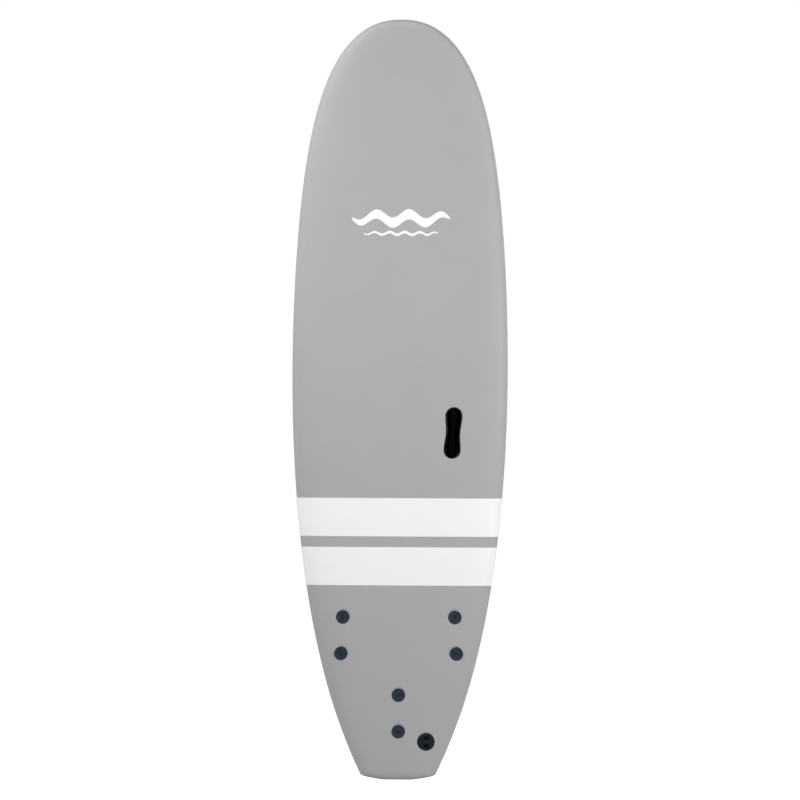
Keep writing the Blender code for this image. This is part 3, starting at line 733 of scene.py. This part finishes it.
def handle_outline(offset, lobe_points=18, waist_points=22):
    """The edge of the handle's lip, two round lobes joined by a waist, grown by an offset."""
    lobe, waist, reach = HANDLE_LOBE + offset, HANDLE_WAIST + offset, HANDLE_LOBE_SPACING / 2
    side = []
    for k in range(lobe_points + 1):
        angle = math.pi / 2 * k / lobe_points
        side.append((reach + lobe * math.cos(angle), lobe * math.sin(angle)))
    for k in range(1, waist_points):
        along = reach * (1 - k / waist_points)
        side.append((along, waist + (lobe - waist) * (1 - math.cos(math.pi * along / reach)) / 2))
    side.append((0.0, waist))
    back = [(-u, v) for u, v in reversed(side[:-1])]
    top = side + back
    return top + [(u, -v) for u, v in reversed(top[1:-1])]


def make_handle():
    """A deep glossy pocket with a rolled lip, drafted walls and a rounded, slightly crowned floor."""
    wall_top = -HANDLE_WALL_INSET
    floor = -HANDLE_DEPTH + HANDLE_FLOOR
    inner_wall = wall_top - HANDLE_DRAFT
    fillet_centre = (inner_wall - HANDLE_FLOOR_ROUND, floor + HANDLE_FLOOR_ROUND)
    levels = [(-HANDLE_CROWN[0], floor + HANDLE_CROWN[1])]
    levels += arc(fillet_centre, HANDLE_FLOOR_ROUND, -90, 0, 8)
    levels += [(wall_top, -0.0030), (wall_top + 0.0006, -0.0012)]
    levels += arc((-LIP_ROUND, -LIP_ROUND + LIP_RISE), LIP_ROUND, 110, 0, 8)
    levels += [(-0.0002, -0.0022), (-0.0028, -0.0022), (-0.0046, -HANDLE_DEPTH)]
    cup = stack("grip_handle", handle_outline, levels, HANDLE)
    finish_piece(cup, "board", ["handle_cup"], HANDLE_PLASTIC, 40)


# --- Deck skin, bottom and films ----------------------------------------------------------

BOLT_HOLE = {"mouth": 0.0178, "step": 0.0096, "bore": 0.0098}
LEASH_HOLE = {"mouth": 0.0231, "step": 0.0034, "bore": 0.0188}
LEASH_HOLE_DEPTH = 0.0243
HANDLE_HOLE_DEPTH = 0.030
FLARE_WIDTH = 2.2 * HOLE_ROUND
FLARE_RISE = 0.0006
FLARE_SINK = 0.0002
DISC_ROOM_RADIUS = 0.0178
DISC_ROOM_DEPTH = 0.0019
SLICK_EDGE_GAP = 0.0003


def stepped_hole(name, matrix, hole, end, steps):
    """A cutter for a round stepped hole, whose flared mouth rounds the foam's edge over."""
    mouth, step, bore = hole["mouth"], -hole["step"], hole["bore"]
    profile = [(0, CUTTER_REACH), (mouth + FLARE_WIDTH, CUTTER_REACH)]
    profile += [(mouth + FLARE_WIDTH, FLARE_RISE)]
    profile += arc((mouth + HOLE_ROUND, -HOLE_ROUND - FLARE_SINK), HOLE_ROUND, 90, 180, 5)
    profile += [(mouth, step), (bore, step), (bore, end), (0, end)]
    return turned(name, profile, matrix, steps)


def handle_hole():
    """A cutter with the handle's outline and the same flared mouth."""
    rounding = arc((HOLE_ROUND, -HOLE_ROUND), HOLE_ROUND, 90, 180, 5)
    levels = [(HANDLE_ROOM + FLARE_WIDTH, CUTTER_REACH), (HANDLE_ROOM + FLARE_WIDTH, FLARE_RISE)]
    levels += [(HANDLE_ROOM + offset, height) for offset, height in rounding]
    levels += [(HANDLE_ROOM, -HANDLE_HOLE_DEPTH)]
    return stack("handle_hole", handle_outline, levels, HANDLE)


def make_skins():
    """The foam skin over the deck and rails, and the slick sheet, each cut out of the whole board."""
    lining = layer("lining", SKIN_DEPTH)
    opening = footprint("opening", CHINE)
    holes = [
        stepped_hole(f"hole_{label}", at, BOLT_HOLE, -depth - CUTTER_REACH, 48)
        for label, (at, depth) in BOLTS.items()
    ]
    low, roof = -FOOTPRINT_REACH, -depth_through(LEASH, 1) + DISC_ROOM_DEPTH
    room = [(0, low), (DISC_ROOM_RADIUS, low), (DISC_ROOM_RADIUS, roof), (0, roof)]
    disc_room = turned("disc_room", room, LEASH)
    holes.append(handle_hole())
    holes.append(stepped_hole("leash_hole", LEASH, LEASH_HOLE, -LEASH_HOLE_DEPTH, 64))
    deck_holes = together("deck_holes", holes)
    skin = whole_board("foam_deck_skin")
    cut(skin, [lining, opening, deck_holes])
    finish_piece(skin, "board", ["deck_skin"], GREY_FOAM, 30)

    inner = footprint("slick_footprint", CHINE + SLICK_EDGE_GAP)
    slick = whole_board("slick_bottom")
    inside = layer("slick_inside", SLICK_DEPTH)
    cut(slick, [inside])
    cut(slick, [inner], "INTERSECT")
    cut(slick, [deck_holes, disc_room])
    finish_piece(slick, "board", ["bottom_slick"], SLICK, 30)
    drop(lining, opening, deck_holes, disc_room, inner, inside)


def make_bands():
    """Two white films that wrap the deck and both rails, down to the slick sheet's edge."""
    for node, start in BAND_STARTS.items():

        def build(shape):
            rings = []
            for z in np.linspace(start, start + BAND, 13):
                outer, inner = wrap_section(z, -FILM_OUTER), wrap_section(z, -FILM_INNER)
                rings.append(np.concatenate((outer, inner[::-1])))
            rings_to_faces(shape, rings)

        band = put(f"{node}_film", mesh_from(node, build))
        finish_piece(band, "board", [node], WHITE_FILM, 40)


def make_ribbon(node, length, z, sway, half_height, waves, steps=160, rows=4):
    """A tapering wavy ribbon of film, laid on the deck."""

    def point(t, across, lift):
        x = t * length / 2
        reach = half_height * math.sqrt(max(0.0, 1 - t * t)) + 0.0008
        v = z + sway * math.sin(math.pi * waves * t) + across * reach
        return (x, surface_y(x, v, -1) - lift, v)

    def build(shape):
        rings = []
        for k in range(steps + 1):
            t = math.sin(math.pi / 2 * (2 * k / steps - 1))
            across = [2 * j / rows - 1 for j in range(rows + 1)]
            outer = [point(t, a, FILM_OUTER) for a in across]
            rings.append(outer + [point(t, a, FILM_INNER) for a in reversed(across)])
        rings_to_faces(shape, rings)

    film = put(f"{node}_film", mesh_from(node, build))
    finish_piece(film, "board", [node], WHITE_FILM, 40)


# --- Bolts --------------------------------------------------------------------------------

BOLT_HEAD_RADIUS = 0.0175
BOLT_SINK = 0.0014
BOLT_HEAD_HEIGHT = 0.004
BOLT_SHANK_RADIUS = 0.004
THREAD_ENGAGED = 0.012
THREAD_PITCH = 0.0020
THREAD_DEPTH = 0.0003
THREAD_FORM = ((0.15, THREAD_DEPTH), (0.5, THREAD_DEPTH), (0.65, 0), (1.0, 0))
THREAD_RUN_IN = 0.003
THREAD_RUN_OUT = 0.001
BOLT_RIM = 0.0022
BOLT_DISH = 0.0005
POST_LENGTH = 0.022
SLOT_LENGTH = 0.0155
SLOT_WIDTH = 0.0028
SLOT_DEPTH = 0.0030
SLOT_OVERSHOOT = 0.004
SLOT_ROUND = 0.0006
SLOT_ANGLES = {
    "left_front": 90,
    "left_rear": 112,
    "right_front": 62,
    "right_rear": 7,
    "centre_front": 14,
    "centre_rear": -5,
}


def level_turn(matrix, degrees):
    """The turn about Z that sets a frame's X axis at an angle above the level, seen from the deck."""
    across = matrix.to_3x3().inverted() @ Vector((1, 0, 0))
    return Matrix.Rotation(math.atan2(across.y, across.x) + math.radians(degrees), 4, "Z")


def make_bolt(label, matrix, depth):
    """A plastic bolt: a raised rim, a shallow dish with a driver slot, and a threaded shank."""
    top = -BOLT_SINK
    radius, under = BOLT_HEAD_RADIUS, -BOLT_SINK - BOLT_HEAD_HEIGHT
    tip = POST_LENGTH - depth - THREAD_ENGAGED
    profile = [(0, top - 0.0002), (radius * 0.45, top - 0.0003)]
    profile += [(radius - BOLT_RIM - 0.0006, top - BOLT_DISH)]
    profile += arc((radius - BOLT_RIM + 0.0004, top - 0.0004), 0.0004, 150, 90, 3)
    profile += arc((radius - 0.0009, top - 0.0009), 0.0009, 90, 0, 6)
    profile += [(radius, under + 0.0003), (radius - 0.0003, under)]
    profile += [(BOLT_SHANK_RADIUS + 0.0008, under), (BOLT_SHANK_RADIUS, under - 0.0008)]
    height = POST_LENGTH - depth + THREAD_RUN_IN
    profile.append((BOLT_SHANK_RADIUS, height))
    while height - THREAD_PITCH > tip + THREAD_RUN_OUT:
        for share, root in THREAD_FORM:
            profile.append((BOLT_SHANK_RADIUS - root, height - share * THREAD_PITCH))
        height -= THREAD_PITCH
    profile += [(BOLT_SHANK_RADIUS - 0.0008, tip), (0, tip)]
    bolt = turned(f"bolt_{label}_screw", profile, matrix, 72)
    slot_frame = matrix @ Matrix.Translation((0, 0, top)) @ level_turn(matrix, SLOT_ANGLES[label])
    long, wide = SLOT_LENGTH / 2, SLOT_WIDTH / 2
    low, high = (-long, -wide, -SLOT_DEPTH), (long, wide, SLOT_OVERSHOOT)
    slot = rounded_box("slot", low, high, slot_frame, SLOT_ROUND)
    cut(bolt, [slot])
    drop(slot)
    finish_piece(bolt, f"bolt_{label}", [f"bolt_{label}"], BOLT_PLASTIC, 30)


# --- Fins ---------------------------------------------------------------------------------

FIN_BASE = (0.124, 0.028, 0.004)
FIN_CHORD = 0.116
FIN_DEPTH = 0.114
FIN_RAKE = 0.062
FIN_TIP = 0.16
FIN_FOIL = 0.0085
FIN_SEAT_GAP = 0.0008
FIN_ROOT_FLARE = 0.0040
FIN_ROOT_RISE = 0.009
FIN_BASE_ROUND = 0.0024
FIN_BASE_POINTS = 96
FIN_SINK = 0.0015
FIN_LOW_SHARES = [0.0, 0.012, 0.024, 0.04, 0.06, 0.09]
FIN_UPPER_SHARE = 0.905
FIN_HIGH_STEPS = 36
POST_RADIUS = 0.0072
INSERT_RADIUS = 0.0055
INSERT_LENGTH = 0.016
INSERT_ROOM = 0.0001
INSERT_SET_BACK = 0.0015
SOCKET_REACH = 0.04
CANTS = {"left": 6.0, "right": -6.0, "centre": 0.0}


def blade_section(height, points=56):
    """The foil at a share of the blade's height, flared where it meets the base."""
    rise = height * FIN_DEPTH
    chord = FIN_CHORD * (FIN_TIP + (1 - FIN_TIP) * math.sqrt(max(0.0, 1 - height**2.4)))
    trailing = -FIN_CHORD / 2 - FIN_RAKE * height**1.7
    half = FIN_FOIL / 2 * (chord / FIN_CHORD) ** 0.7
    flare = 0
    if rise < FIN_ROOT_RISE:
        left = (1 - rise / FIN_ROOT_RISE) ** 2
        flare = FIN_ROOT_FLARE * max(0.0, 1 - math.sqrt(max(0.0, 1 - left)))
    ring = []
    for k in range(points):
        angle = math.tau * k / points
        along = (1 + math.cos(angle)) / 2
        bulge = math.sin(angle) * (half * (0.25 + 0.75 * math.sqrt(along)) + flare)
        ring.append((trailing + chord * along + flare * 0.5 * math.cos(angle), bulge, rise))
    return ring


def make_fin(name, matrix):
    """A raked blade on a rounded base, with two posts that reach up into the board."""
    half_length, half_width, height = FIN_BASE[0] / 2, FIN_BASE[1] / 2, FIN_BASE[2]

    def base_outline(offset):
        points = []
        for k in range(FIN_BASE_POINTS):
            angle = math.tau * k / FIN_BASE_POINTS
            shift = math.copysign(half_length - half_width, math.cos(angle))
            reach = half_width + offset
            points.append((shift + reach * math.cos(angle), reach * math.sin(angle)))
        return points

    top = FIN_SEAT_GAP + height
    edge = arc((-FIN_BASE_ROUND, top - FIN_BASE_ROUND), FIN_BASE_ROUND, 0, 90, 6)
    levels = [(-0.0006, FIN_SEAT_GAP), (0, FIN_SEAT_GAP + 0.0006), *edge, (-0.006, top + 0.0003)]
    fin = stack(f"fin_{name}_blade", base_outline, levels, matrix)

    def build_blade(shape):
        low, steps = FIN_LOW_SHARES[-1], FIN_HIGH_STEPS
        turns = (math.pi / 2 * k / steps for k in range(1, steps + 1))
        heights = FIN_LOW_SHARES + [low + FIN_UPPER_SHARE * math.sin(turn) for turn in turns]
        rings_to_faces(shape, [blade_section(h) for h in heights])
        cant = Matrix.Rotation(math.radians(CANTS[name]), 4, "X")
        lean = Matrix.Translation((0, 0, top - FIN_SINK)) @ cant
        bmesh.ops.transform(shape, matrix=matrix @ lean, verts=shape.verts)

    blade = put("blade", mesh_from("blade", build_blade))
    posts, sockets = [], []
    for side in (1, -1):
        at = matrix @ Matrix.Translation((side * BOLT_SPACING / 2, 0, 0))
        floor = INSERT_LENGTH + INSERT_SET_BACK - POST_LENGTH
        post = [(0, -POST_LENGTH), (POST_RADIUS - 0.0008, -POST_LENGTH)]
        post += [(POST_RADIUS, 0.0008 - POST_LENGTH), (POST_RADIUS, -0.002)]
        post += [(POST_RADIUS + 0.0005, 0.0008), (POST_RADIUS, 0.003), (0, 0.003)]
        posts.append(turned("post", post, at, 40))
        room, end = INSERT_RADIUS + INSERT_ROOM, -SOCKET_REACH
        socket = [(0, floor), (room, floor), (room, end), (0, end)]
        sockets.append(turned("socket", socket, at, 40))
    cut(fin, [blade, *posts], "UNION")
    cut(fin, sockets)
    drop(blade, *posts, *sockets)
    finish_piece(fin, f"fin_{name}", [f"fin_{name}"], FIN_PLASTIC, 35)


# --- Leash plug ---------------------------------------------------------------------------

LEASH_RADIUS = 0.0225
LEASH_FLANGE = 0.003
LEASH_CUP_RADIUS = 0.0185
LEASH_CUP_DEPTH = 0.024
LEASH_BAR = 0.010
LEASH_BAR_HEIGHT = 0.006
LEASH_OPENING = (0.0125, 0.0095)
LEASH_CHAMBER_DEPTH = 0.016
LEASH_STUD_BORE = 0.0036
LEASH_STUD_DEPTH = 0.006
LEASH_OPENING_ROUND = 0.0008
LEASH_TUNNEL_ROUND = 0.0015
LEASH_TUNNEL_OVERLAP = 0.003
LEASH_TUNNEL_INSET = 0.0003


def make_leash_plug():
    """The leash plug: a flanged cup, with a bar between two openings that join below it."""
    radius, floor, bore = LEASH_RADIUS, -LEASH_CUP_DEPTH, LEASH_STUD_BORE
    profile = [(0, 0.0), (radius - 0.0030, 0.0)]
    profile += [(radius - 0.0026, -0.0003), (radius - 0.0022, -0.0003)]
    profile += arc((radius - 0.0014, -0.0015), 0.0014, 90, 0, 6)
    profile += [(radius, -LEASH_FLANGE), (LEASH_CUP_RADIUS, -LEASH_FLANGE)]
    profile += [(LEASH_CUP_RADIUS, floor + 0.001), (LEASH_CUP_RADIUS - 0.001, floor), (bore, floor)]
    profile += [(bore, floor + LEASH_STUD_DEPTH), (0, floor + LEASH_STUD_DEPTH)]
    plug = turned("leash_anchor", profile, LEASH, 96)
    width, length = LEASH_OPENING
    near, far, half = LEASH_BAR / 2, LEASH_BAR / 2 + length, width / 2
    deep, clear, inset = -LEASH_CHAMBER_DEPTH, CUTTER_REACH, LEASH_TUNNEL_INSET
    past, across = near + LEASH_TUNNEL_OVERLAP, half - inset
    boxes = {
        "upper": ((near, -half, deep), (far, half, clear), LEASH_OPENING_ROUND),
        "lower": ((-far, -half, deep), (-near, half, clear), LEASH_OPENING_ROUND),
        "tunnel": (
            (-past, -across, deep + inset),
            (past, across, -LEASH_BAR_HEIGHT),
            LEASH_TUNNEL_ROUND,
        ),
    }
    cutters = [
        rounded_box(name, low, high, LEASH, radius)
        for name, (low, high, radius) in boxes.items()
    ]
    cut(plug, cutters)
    drop(*cutters)
    finish_piece(plug, "board", ["leash_plug"], PLUG_PLASTIC, 30)


make_handle()
make_skins()
make_bands()
make_ribbon("emblem_wave", **EMBLEM_WAVE)
make_ribbon("emblem_underline", **EMBLEM_UNDERLINE)
for bolt_label, (bolt_matrix, bolt_depth) in BOLTS.items():
    make_bolt(bolt_label, bolt_matrix, bolt_depth)
for fin_name, fin_matrix in FINS.items():
    make_fin(fin_name, fin_matrix)
make_leash_plug()

# --- Camera, light and floor --------------------------------------------------------------

LENS = 400.0
FLOOR_GLOW = 0.86
SURROUND = 0.24
FRAME_WIDTH = 2.08856
CAMERA_ROLL = -0.32
FAR_CLIP = 200.0
FLOOR_SIZE = 60.0
FLOOR_GAP = 0.0005
LIT_POINT = (0.0, 0.0, 1.35)
PANEL = (1.6, 1.6)


def make_camera():
    camera = bpy.data.objects.new("camera", bpy.data.cameras.new("camera"))
    bpy.context.scene.collection.objects.link(camera)
    camera.data.lens = LENS
    distance = FRAME_WIDTH * LENS / camera.data.sensor_width
    camera.location = (0.0, -distance, LENGTH / 2)
    camera.rotation_euler = (math.radians(90), math.radians(CAMERA_ROLL), 0)
    camera.data.clip_end = FAR_CLIP
    bpy.context.scene.camera = camera


def area_light(name, place, target, size, power, spread=180.0):
    """A rectangular light, unseen by the camera, aimed at a target."""
    light = bpy.data.objects.new(name, bpy.data.lights.new(name, "AREA"))
    bpy.context.scene.collection.objects.link(light)
    light.data.shape = "RECTANGLE"
    light.data.size, light.data.size_y = size
    light.data.energy = power
    light.data.spread = math.radians(spread)
    light.location = place
    aim = Vector(target) - Vector(place)
    light.rotation_euler = aim.to_track_quat("-Z", "Y").to_euler()
    light.visible_camera = False


def make_world():
    """Soft white surroundings, and pure white where the camera looks past the board."""
    world = bpy.data.worlds.new("studio")
    bpy.context.scene.world = world
    world.use_nodes = True
    nodes, links = world.node_tree.nodes, world.node_tree.links
    surround = nodes["Background"]
    surround.inputs["Strength"].default_value = SURROUND
    backdrop = nodes.new("ShaderNodeBackground")
    backdrop.inputs["Strength"].default_value = 1.0
    surround.inputs["Color"].default_value = backdrop.inputs["Color"].default_value = (1, 1, 1, 1)
    path, mix = nodes.new("ShaderNodeLightPath"), nodes.new("ShaderNodeMixShader")
    links.new(path.outputs["Is Camera Ray"], mix.inputs["Fac"])
    links.new(surround.outputs[0], mix.inputs[1])
    links.new(backdrop.outputs[0], mix.inputs[2])
    links.new(mix.outputs[0], nodes["World Output"].inputs["Surface"])


def make_floor():
    """A plain pale floor, which glows for the camera alone so that it meets the white surroundings."""
    floor_material = Nodes("pale_floor")
    cloud = floor_material.noise(0.7, 2.0)
    floor_material.colour(floor_material.ramp(cloud, [(0.3, grey(0.78)), (0.7, grey(0.80))]))
    floor_material.set(roughness=0.9)
    floor_material.shader.inputs["Emission Color"].default_value = (1, 1, 1, 1)
    seen = floor_material.add("ShaderNodeLightPath").outputs["Is Camera Ray"]
    glow = floor_material.math("MULTIPLY", seen, FLOOR_GLOW)
    floor_material.link(glow, floor_material.shader.inputs["Emission Strength"])

    def build(shape):
        bmesh.ops.create_grid(shape, x_segments=4, y_segments=4, size=FLOOR_SIZE)

    floor = put("floor", mesh_from("floor", build))
    floor.location.z = cad_box[0].z - FLOOR_GAP
    floor.data.materials.append(floor_material.material)


make_camera()
make_world()
make_floor()
area_light("key", (-1.8, -1.8, 2.9), LIT_POINT, PANEL, 21.0, 100.0)
area_light("key_side", (-2.4, -1.0, 2.6), LIT_POINT, PANEL, 9.5, 100.0)
area_light("fill", (2.7, -1.5, 1.5), LIT_POINT, PANEL, 23.0, 100.0)
area_light("behind", (1.5, 3.2, 2.6), (0.0, 0.0, 1.0), (2.4, 2.4), 80.0)
bpy.context.scene.view_settings.view_transform = "Standard"

CARRIED = {
    "core_foam": CORE_FOAM,
    "stringer_wood": WOOD,
    "black_plastic": SLEEVE_PLASTIC,
    "grey_foam": GREY_FOAM,
    "white_film": WHITE_FILM,
    "slick_sheet": SLICK,
    "fin_plastic": FIN_PLASTIC,
    "bolt_plastic": BOLT_PLASTIC,
    "seal_rubber": RUBBER,
    "insert_brass": BRASS,
    "stainless_steel": STEEL,
}
slots = {s["node"]: s["material_slot"] for s in frame["record"]["subparts"]}
# Every CAD node gets its slot's material, and those that no piece above replaces are carried over
for node, piece in frame["nodes"].items():
    for index in range(len(piece.material_slots)):
        piece.material_slots[index].material = CARRIED[slots[node]]
